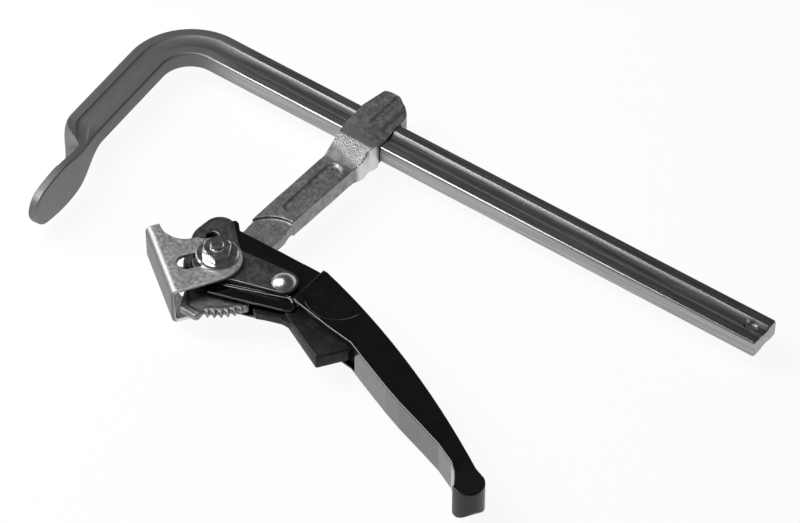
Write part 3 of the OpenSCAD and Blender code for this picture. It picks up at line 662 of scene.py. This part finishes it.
# The dimple's floor seen across the lever and along it: it rises to the outside above and at the step
rising = [(-30, dimple_floor), (0, dimple_floor), (21, GRIP_HALF + 0.1), (60, GRIP_HALF + 1), (60, 20),
    (-30, 20)]
fading = [(57, GRIP_HALF + 0.2), (74, dimple_floor), (120, dimple_floor), (120, 20), (57, 20)]
for side in (-1, 1):
    dimple = through(disc(GRIP_DIMPLE, DIMPLE_R, 96))
    kept_inside(dimple, slab(sided(rising, side), -20, 120, across_arm))
    cut(grip, kept_inside(dimple, through(sided(fading, side), 60, along_arm)))
print("grip:", len(grip.data.polygons), "faces")

# %% Press the head
# Outlines of the cheeks, as shares of the head's height: the back, then the lower edge of each layer
HEAD_BACK = [(1.84, 1.012), (-0.197, 0.967), (-0.345, 1.12), (-0.443, 1.148), (-0.508, 1.082),
    (-0.66, 0.75), (-0.68, 0.4), (-0.6, 0.05)]
OUTER_EDGE = [(-0.3, -0.45), (0.28, -0.5), (1, -0.207), (1.754, 0.0885), (1.84, 0.12)]
INNER_EDGE = [(-0.35, -0.61), (0.08, -0.705), (0.344, -0.764), (0.885, -0.587), (1.87, -0.252),
    (2.04, -0.16), (2.04, 0.04), (1.84, 0.12)]
BOLT_HOLE = 6.06
lever_parts = [grip]
for high, edge, round_r in ((CHEEK_OUT, OUTER_EDGE, HEAD*0.57), (CHEEK_OUT - 1, INNER_EDGE, HEAD*0.705)):
    outline = [(a*HEAD, b*HEAD) for a, b in HEAD_BACK + edge]
    for piece in both_sides(outline, CHEEK_IN, high) + both_sides(disc(CENTRE, round_r), CHEEK_IN, high):
        lever_parts.append(cut(piece, through(disc(CENTRE, BOLT_HOLE))))
for side in (1, -1):
    wall = kept_inside(dimple_wall(side), through(grip_outline(0)))
    lever_parts.append(kept_inside(wall, flared(CHEEK_OUT, GRIP_HALF + 0.5)))
lever = melted(lever_parts, "lever_shell", 0.45, 5)
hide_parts("lever_handle")
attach(lever, "lever")

# %% [markdown]
# ## The cam plates
# A round lobe beside the pivot and a straight tail to the rivet make the cam, stamped from plate. Circles
# and the belts round them give its outline, and one straight edge trims the lobe.

# %% Stamp the cam plates
LOBE, LOBE_R, HORN, HORN_R = (-9.45, 12.51), 17, (-15.48, 21.0), 10.3
HUB_RIM, NECK_RIM, TAIL_R = 16, 13.5, 9.3
EDGE_FROM, EDGE_TURN, EDGE_LONG = (7.29, 14.0), 139.3, 67
SMALL_HOLE, SMALL_HOLE_R = (-14.5, 13), 4


def belt(a, ra, b, rb):
    away = math.degrees(math.atan2(b[1] - a[1], b[0] - a[0]))
    apart = math.degrees(math.acos((ra - rb)/math.dist(a, b)))
    return [on_circle(a, ra, away - apart), on_circle(b, rb, away - apart),
        on_circle(b, rb, away + apart), on_circle(a, ra, away + apart)]


trim = [EDGE_FROM, on_circle(EDGE_FROM, EDGE_LONG, EDGE_TURN), (45, 67), (52, 14)]
lobes = [disc(LOBE, LOBE_R), disc(HORN, HORN_R), belt(LOBE, LOBE_R, HORN, HORN_R),
    disc(CENTRE, HUB_RIM), belt(CENTRE, HUB_RIM, LOBE, NECK_RIM)]
tail = [(0.45, -4.5), (12.5, -11.1)] + arc(RIVET, TAIL_R, -70, 98, 20) + [(1.35, 13.5)]
for name, side in (("cam_front", 1), ("cam_back", -1)):
    parts = [cut(one_side(outline, CHEEK_OUT, CAM_OUT, side), through(trim)) for outline in lobes]
    parts.append(one_side(tail, CHEEK_OUT, CAM_OUT, side))
    for piece in parts:
        cut(piece, through(disc(CENTRE, BOLT_HOLE)), through(disc(SMALL_HOLE, SMALL_HOLE_R)))
    cam = melted(parts, name, 0.35, 3)
    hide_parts("cam_plate_front" if side > 0 else "cam_plate_back")
    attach(cam, "lever")

# %% [markdown]
# ## Bolt, nut, washers and rivet
# These are turned parts. The nut is a hexagon with its corners turned off at the top, and the bolt's end
# stands out of it with its thread showing.

# %% Washers
WASHER_R, WASHER_BORE, WASHER_IN, WASHER_OUT, CHAMFER = 13.5, 6.1, 14.075, 15.875, 0.3
washer = [(WASHER_BORE, WASHER_IN), (WASHER_R - CHAMFER, WASHER_IN), (WASHER_R, WASHER_IN + CHAMFER),
    (WASHER_R, WASHER_IN + 0.9), (WASHER_R - 0.9, WASHER_OUT), (6.4, WASHER_OUT),
    (WASHER_BORE, WASHER_OUT - CHAMFER)]
for name, side in (("washer_front", 1), ("washer_back", -1)):
    piece = named(lathed(sided(washer, side)), name)
    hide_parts("pivot_" + name)
    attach(piece, "swivel")

# %% Nut and bolt
NUT_IN, NUT_OUT, NUT_FLAT, NUT_BEVEL = 15.925, 21.425, 17.0, 0.35
THREAD_R, THREAD_DEEP, THREAD_PITCH, THREAD_FROM, THREAD_TO = 4.45, 0.5, 1.2, 12, 22.2
SHANK_R, SHANK_IN, SHANK_OUT = 6, -16, 15.8
hexagon = [turned_by(NUT_FLAT/2/math.cos(math.radians(30)), 240 + 60*i) for i in range(6)]
nut_cone = [(0, NUT_IN - 1), (14.5, NUT_IN - 1), (8.1, NUT_OUT - 0.05), (7.7, NUT_OUT), (0, NUT_OUT)]


def turned_hexagon(side):
    return kept_inside(one_side(hexagon, NUT_IN, NUT_OUT, side), lathed(sided(nut_cone, side)))


turns = int((THREAD_TO - THREAD_FROM)/THREAD_PITCH)
thread = [(THREAD_R - (THREAD_DEEP if i % 2 else 0), THREAD_FROM + THREAD_PITCH*i/2)
    for i in range(2*turns)]
nut = turned_hexagon(1)
cut(nut, slab(disc(CENTRE, 4.5), 10, 30))
named(rounded(nut, NUT_BEVEL), "nut")
bolt_end = lathed([(0, 0), (4.0, 0.5)] + thread + [(4.4, 22.4), (3.6, 23.3), (0, 23.35)])
shank = lathed([(0, SHANK_IN), (SHANK_R, SHANK_IN), (SHANK_R, SHANK_OUT), (0, SHANK_OUT)])
bolt = named(joined([rounded(turned_hexagon(-1), NUT_BEVEL), shank, bolt_end]), "bolt")
shaded(bolt, 35)
for piece, node in ((nut, "pivot_nut"), (bolt, "pivot_bolt")):
    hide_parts(node)
    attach(piece, "arm")

# %% Rivet
DOME_R, DOME_HIGH, RIVET_SHANK_R = 7.75, 4.03, 2.95
ball = (DOME_R**2 + DOME_HIGH**2)/(2*DOME_HIGH)
half_angle = math.degrees(math.asin(DOME_R/ball))
dome = [(x, CAM_OUT + DOME_HIGH - ball + y) for x, y in arc(CENTRE, ball, 90 - half_angle, 90, 14)]
dome[-1] = (0, dome[-1][1])
rivet_section = sided(dome, -1)[::-1] + [(RIVET_SHANK_R, -CAM_OUT), (RIVET_SHANK_R, CAM_OUT)] + dome
rivet = named(lathed(rivet_section, RIVET), "rivet")
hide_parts("cam_rivet")
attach(rivet, "lever")

# %% [markdown]
# ## Pawl and trigger
# The pawl hangs on the rivet and hooks round the ratchet teeth. Its tail is pinned inside the trigger, a
# black wedge under the lever that a finger pulls to let the pawl go.

# %% Trigger and pawl
PAWL_HALF, TRIGGER_HALF, PAWL_BORE, RIM_GAP, HUB_GAP = 2, 5, 4.56, 0.38, 0.45
NOSE_AT = [turned_by(TOOTH_R*1.06, -20.3), turned_by(TOOTH_R*1.195, -21.7)]
HUB_R = math.hypot(*RIVET) - TOOTH_R - HUB_GAP
pawl_outline = ([on_circle(RIVET, HUB_R, 150)] + NOSE_AT
    + [(57.15, -11.25), (80.1, -11.03), (80.1, -2.03), (57.6, 0.9), on_circle(RIVET, HUB_R, 60)])
hook = cut(through(pawl_outline, PAWL_HALF), through(disc(CENTRE, TOOTH_R + RIM_GAP), 5))
pawl_parts = [hook, through(disc(RIVET, HUB_R), PAWL_HALF)]
for piece in pawl_parts:
    cut(piece, through(disc(RIVET, PAWL_BORE), 5))
pawl = melted(pawl_parts, "pawl_hook", 0.3, 3)
trigger_outline = [(57.6, -0.9), (56.25, -4.5), (58.5, -7.65), (96.3, -25.5), (108, -8.55), (108.9, -1),
    (63.9, 4.05)]
trigger = rounded(through(trigger_outline, TRIGGER_HALF), 1.1)
trigger = cut(trigger, through(pawl_outline, PAWL_HALF))
named(trigger, "trigger_block")
for piece, node, slot in ((pawl, "pawl", "pawl_steel"), (trigger, "trigger", "trigger_black")):
    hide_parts(node)
    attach(piece, "trigger")

# %% [markdown]
# ## Small helpers for shader trees
# A shader tree is a chain of nodes, and each helper adds one link of it and returns its result. An input
# takes either a plain value or the result of another node.

# %% Add nodes to a tree
# Numbers of the Mix node's inputs (factor, A and B) and of its result, by the kind of data
MIX_SOCKETS = {"RGBA": ((0, 6, 7), 2), "FLOAT": ((0, 2, 3), 0)}


def new_node(tree, kind, **settings):
    made = tree.nodes.new(kind)
    for key, value in settings.items():
        setattr(made, key, value)
    return made


def feed(tree, socket, value):
    if isinstance(value, bpy.types.NodeSocket):
        tree.links.new(value, socket)
    else:
        socket.default_value = value


def maths(tree, operation, *values):
    made = new_node(tree, "ShaderNodeMath", operation=operation)
    for socket, value in zip(made.inputs, values):
        feed(tree, socket, value)
    return made.outputs[0]


def ranged(tree, source, start, end, low, high, easing="LINEAR"):
    made = new_node(tree, "ShaderNodeMapRange", interpolation_type=easing)
    for key, value in (("Value", source), ("From Min", start), ("From Max", end), ("To Min", low),
            ("To Max", high)):
        feed(tree, made.inputs[key], value)
    return made.outputs["Result"]


def mixed(tree, kind, *values):
    made = new_node(tree, "ShaderNodeMix", data_type=kind)
    inputs, result = MIX_SOCKETS[kind]
    for number, value in zip(inputs, values):
        feed(tree, made.inputs[number], value)
    return made.outputs[result]


def noise(tree, scale, detail, stretch):
    place = new_node(tree, "ShaderNodeMapping")
    feed(tree, place.inputs["Scale"], stretch)
    feed(tree, place.inputs["Vector"], tree.nodes["Place"].outputs["Object"])
    made = new_node(tree, "ShaderNodeTexNoise")
    for key, value in (("Scale", scale), ("Detail", detail), ("Vector", place.outputs["Vector"])):
        feed(tree, made.inputs[key], value)
    return made.outputs["Fac"]


print("shader helpers are ready")

# %% [markdown]
# ## Finishes
# Every finish is built the same way: a colour that varies a little with noise, a roughness that varies
# with another noise, and a fine bump. The noise is stretched along the rail for drawn steel, and coarse
# for the forged skin. All of it reads Object coordinates, so it stays on the part when the part moves. A
# patch can mix a third colour and another roughness in, and paint has a clear coat, which is thinner on
# its patch.

# %% A finish with varied colour, roughness and bump
COAT_ROUGH, COAT_IOR, COAT_ON_PATCH, SHINE_UNDER_COAT, PLAIN_SHINE = 0.06, 1.7, 0.4, 0.12, 0.5
NOISE_START, NOISE_END = 0.35, 0.65
# Size of each noise, as a share of the finish's own size, and its detail
TONE_NOISE, ROUGH_NOISE, BUMP_NOISE = (0.25, 6), (0.6, 4), (1.6, 5)


def finish(name, colours, metal, rough, bump, grain=(1, 1, 1), size=400.0, coat=0.0, patch=None,
        patch_rough=0.2):
    material = bpy.data.materials.new(name)
    material.use_nodes = True
    tree = material.node_tree
    new_node(tree, "ShaderNodeTexCoord", name="Place")

    def grained(kind):
        return noise(tree, size*kind[0], kind[1], grain)

    def spread(kind, low, high):
        return ranged(tree, grained(kind), NOISE_START, NOISE_END, low, high)

    paints = [(*colour, 1) for colour in colours]
    colour = mixed(tree, "RGBA", spread(TONE_NOISE, 0, 1), paints[0], paints[1])
    roughness, coat_weight = spread(ROUGH_NOISE, *rough), coat
    if patch:
        # The patch mixes in the third colour: a finish on most pieces, and painted shade on the plate's
        # pressing face.
        finish_and_shade = patch(tree)
        colour = mixed(tree, "RGBA", finish_and_shade, colour, paints[2])
        roughness = mixed(tree, "FLOAT", finish_and_shade, roughness, patch_rough)
        if coat:
            coat_weight = ranged(tree, finish_and_shade, 0, 1, coat, coat*COAT_ON_PATCH)
    bumps = new_node(tree, "ShaderNodeBump")
    for key, value in (("Strength", 1.0), ("Distance", bump*MM), ("Height", grained(BUMP_NOISE))):
        feed(tree, bumps.inputs[key], value)
    for key, value in (("Base Color", colour), ("Metallic", metal), ("Roughness", roughness),
            ("Coat Weight", coat_weight), ("Coat Roughness", COAT_ROUGH), ("Coat IOR", COAT_IOR),
            ("Specular IOR Level", SHINE_UNDER_COAT if coat else PLAIN_SHINE),
            ("Normal", bumps.outputs["Normal"])):
        feed(tree, tree.nodes["Principled BSDF"].inputs[key], value)
    return material


print("finish() is ready")

# %% [markdown]
# ## Patches
# Four places differ from the rest of their piece. The arm is polished on the ground ramp from the loop to
# the stem, the bar's jaw is darker and rougher than the rail, the lever's tip is duller than its grip, and
# the plate's pressing face is painted dark, as shade. Each mask is a soft step or band along one
# direction, read from Object coordinates in metres.


# %% Masks for the patches
def place_on_part(tree):
    split = new_node(tree, "ShaderNodeSeparateXYZ")
    feed(tree, split.inputs[0], tree.nodes["Place"].outputs["Object"])
    return split.outputs


def soft_step(tree, source, start, end, low, high):
    return ranged(tree, source, start, end, low, high, "SMOOTHSTEP")


def ground_ramp(tree):
    slant, above_pivot = 0.3, 135
    middle = (PIVOT[1] + above_pivot)*MM + PIVOT[0]*MM*slant
    place = place_on_part(tree)
    across = maths(tree, "MULTIPLY_ADD", place["X"], slant, place["Y"])
    away = maths(tree, "ABSOLUTE", maths(tree, "SUBTRACT", across, middle))
    return soft_step(tree, away, 0.008, 0.013, 0.8, 0)


# Mask for the jaw end, where the bar is darker and rougher than the rail.
def dark_rough_jaw(tree):
    return soft_step(tree, place_on_part(tree)["X"], -0.012, 0.03, 1, 0)


def dull_tip(tree):
    return soft_step(tree, place_on_part(tree)["X"], (PIVOT[0] + 218)*MM, (PIVOT[0] + 226)*MM, 0, 1)


# Painted shade: this mask darkens the plate's outer pressing face.
def pressing_face_shade(tree):
    place = place_on_part(tree)
    along = maths(tree, "MULTIPLY", place["X"], math.cos(PLATE_TURN))
    out = maths(tree, "MULTIPLY_ADD", place["Y"], math.sin(PLATE_TURN), along)
    pivot_out = (PIVOT[0]*math.cos(PLATE_TURN) + PIVOT[1]*math.sin(PLATE_TURN))*MM
    start, end = pivot_out + (FACE_OUT - 4.4)*MM, pivot_out + (FACE_OUT - 0.4)*MM
    return soft_step(tree, out, start, end, 0, 0.9)


print("patches are ready")

# %% Dress the pieces
finishes = {
    "rail_steel": finish("burnished_steel",
        [(0.28, 0.28, 0.285), (0.42, 0.42, 0.425), (0.19, 0.19, 0.195)], 1, (0.3, 0.42), 0.008,
        (0.02, 1, 1), 3000, patch=dark_rough_jaw, patch_rough=0.62),
    "arm_steel": finish("forged_steel",
        [(0.22, 0.22, 0.225), (0.34, 0.34, 0.345), (0.75, 0.75, 0.755)], 1, (0.42, 0.58), 0.2,
        size=900, patch=ground_ramp, patch_rough=0.3),
    # The zinc's third colour, 0.17 grey, is painted shade on the pressing face.
    "plate_zinc": finish("zinc_sheet",
        [(0.62, 0.62, 0.63), (0.78, 0.78, 0.79), (0.17, 0.17, 0.175)], 1, (0.34, 0.46), 0.03,
        size=700, patch=pressing_face_shade, patch_rough=0.55),
    "cam_steel": finish("stamped_steel", [(0.13, 0.13, 0.135), (0.19, 0.19, 0.195)], 1, (0.34, 0.46),
        0.03, size=500),
    "zinc_bright": finish("bright_zinc", [(0.70, 0.71, 0.72), (0.82, 0.83, 0.84)], 1, (0.16, 0.26),
        0.01, size=600),
    "rivet_bright": finish("polished_dome", [(0.76, 0.76, 0.77), (0.86, 0.86, 0.87)], 1, (0.26, 0.32),
        0.01, size=600),
    "pawl_steel": finish("hardened_steel", [(0.03, 0.03, 0.032), (0.06, 0.06, 0.062)], 1, (0.4, 0.5),
        0.03, size=600),
    "pin_steel": finish("drawn_pin", [(0.74, 0.74, 0.75), (0.84, 0.84, 0.85)], 1, (0.18, 0.28), 0.02,
        size=600),
    "bush_brass": finish("bush_metal", [(0.62, 0.46, 0.2), (0.72, 0.56, 0.28)], 1, (0.3, 0.4), 0.02,
        size=600),
    "lever_black": finish("gloss_paint",
        [(0.001, 0.001, 0.0012), (0.002, 0.002, 0.0022), (0.004, 0.004, 0.0042)], 0, (0.3, 0.4), 0.01,
        size=260, coat=1.0, patch=dull_tip, patch_rough=0.5),
    "trigger_black": finish("satin_paint", [(0.006, 0.006, 0.0062), (0.02, 0.02, 0.0205)], 0,
        (0.4, 0.55), 0.06, size=420, coat=0.12)}
dressed = {bar: "rail_steel", arm: "arm_steel", plate: "plate_zinc", lever: "lever_black",
    nut: "zinc_bright", bolt: "zinc_bright", rivet: "rivet_bright", pawl: "pawl_steel",
    trigger: "trigger_black"}
for names, slot in ((("cam_front", "cam_back"), "cam_steel"),
        (("washer_front", "washer_back"), "zinc_bright")):
    for name in names:
        dressed[bpy.data.objects[name]] = slot
kept_slots = {row["node"]: row["material_slot"] for row in frame["record"]["subparts"]}
for name in ("stop_pin", "pivot_bush", "thrust_washer_front", "thrust_washer_back", "pawl_bush",
        "pawl_washer_front", "pawl_washer_back", "trigger_pins", "cross_pin"):
    dressed[nodes[name]] = kept_slots[name]
for piece, slot in dressed.items():
    piece.data.materials.clear()
    piece.data.materials.append(finishes[slot])
print(len(dressed), "pieces dressed")

# %% [markdown]
# ## Studio
# The clamp lies on a white sheet. The sheet is plain white where the camera or a reflection sees it,
# apart from a soft shadow. The sky is white at the horizon and nearly dark overhead, so that faces that
# look up are darker than faces that look down at the sheet. A large lamp overhead rounds the shapes, and
# a weaker one fills from the left.

# %% White sheet
PAPER, GLOW_SHARE, SHEET_LONG, SHEET_BELOW = 0.9, 0.92, 14, 0.0002


def rays(tree, *kinds):
    path = new_node(tree, "ShaderNodeLightPath")
    total = path.outputs[kinds[0]]
    for kind in kinds[1:]:
        total = maths(tree, "MAXIMUM", total, path.outputs[kind])
    return total


def shader_mix(tree, *values):
    made = new_node(tree, "ShaderNodeMixShader")
    for socket, value in zip(made.inputs, values):
        feed(tree, socket, value)
    return made.outputs[0]


nothing_selected()
bpy.ops.mesh.primitive_plane_add(size=SHEET_LONG, location=(0.2, 0, cad_box[0][2] - SHEET_BELOW))
sheet_floor = bpy.context.object
sheet_floor.name = "white_sheet"
paper = bpy.data.materials.new("white_paper")
paper.use_nodes = True
tree = paper.node_tree
tree.nodes.clear()
matt = new_node(tree, "ShaderNodeBsdfDiffuse")
matt.inputs["Color"].default_value = (PAPER, PAPER, PAPER, 1)
glow = new_node(tree, "ShaderNodeEmission")
glow.inputs["Color"].default_value = (1, 1, 1, 1)
seen = shader_mix(tree, GLOW_SHARE, matt.outputs[0], glow.outputs[0])
direct = rays(tree, "Is Camera Ray", "Is Glossy Ray", "Is Transmission Ray")
output = new_node(tree, "ShaderNodeOutputMaterial")
tree.links.new(shader_mix(tree, direct, matt.outputs[0], seen), output.inputs["Surface"])
sheet_floor.data.materials.append(paper)

# %% Sky and lamps
HORIZON, OVERHEAD, DARK_FROM = 1.0, 0.05, 0.34
world = bpy.data.worlds.new("studio")
bpy.context.scene.world = world
world.use_nodes = True
tree = world.node_tree
sky = tree.nodes["Background"]
sky.inputs["Color"].default_value = (1, 1, 1, 1)
direction = new_node(tree, "ShaderNodeTexCoord")
split = new_node(tree, "ShaderNodeSeparateXYZ")
tree.links.new(direction.outputs["Generated"], split.inputs[0])
feed(tree, sky.inputs["Strength"], ranged(tree, split.outputs["Z"], 0.0, DARK_FROM, HORIZON, OVERHEAD))


def lamp(name, place, target, size, power):
    data = bpy.data.lights.new(name, "AREA")
    data.shape = "SQUARE"
    data.size = size
    data.energy = power
    made = bpy.data.objects.new(name, data)
    bpy.context.scene.collection.objects.link(made)
    made.location = place
    made.rotation_euler = (Vector(target) - Vector(place)).to_track_quat("-Z", "Y").to_euler()


lamp("overhead", (-0.45, -0.35, 1.25), (0.15, 0.05, 0), size=0.9, power=19)
lamp("fill_left", (-1.0, -0.38, 0.78), (0.1, 0.0, 0), size=0.7, power=8)
scene = bpy.context.scene
scene.view_settings.view_transform = "Standard"
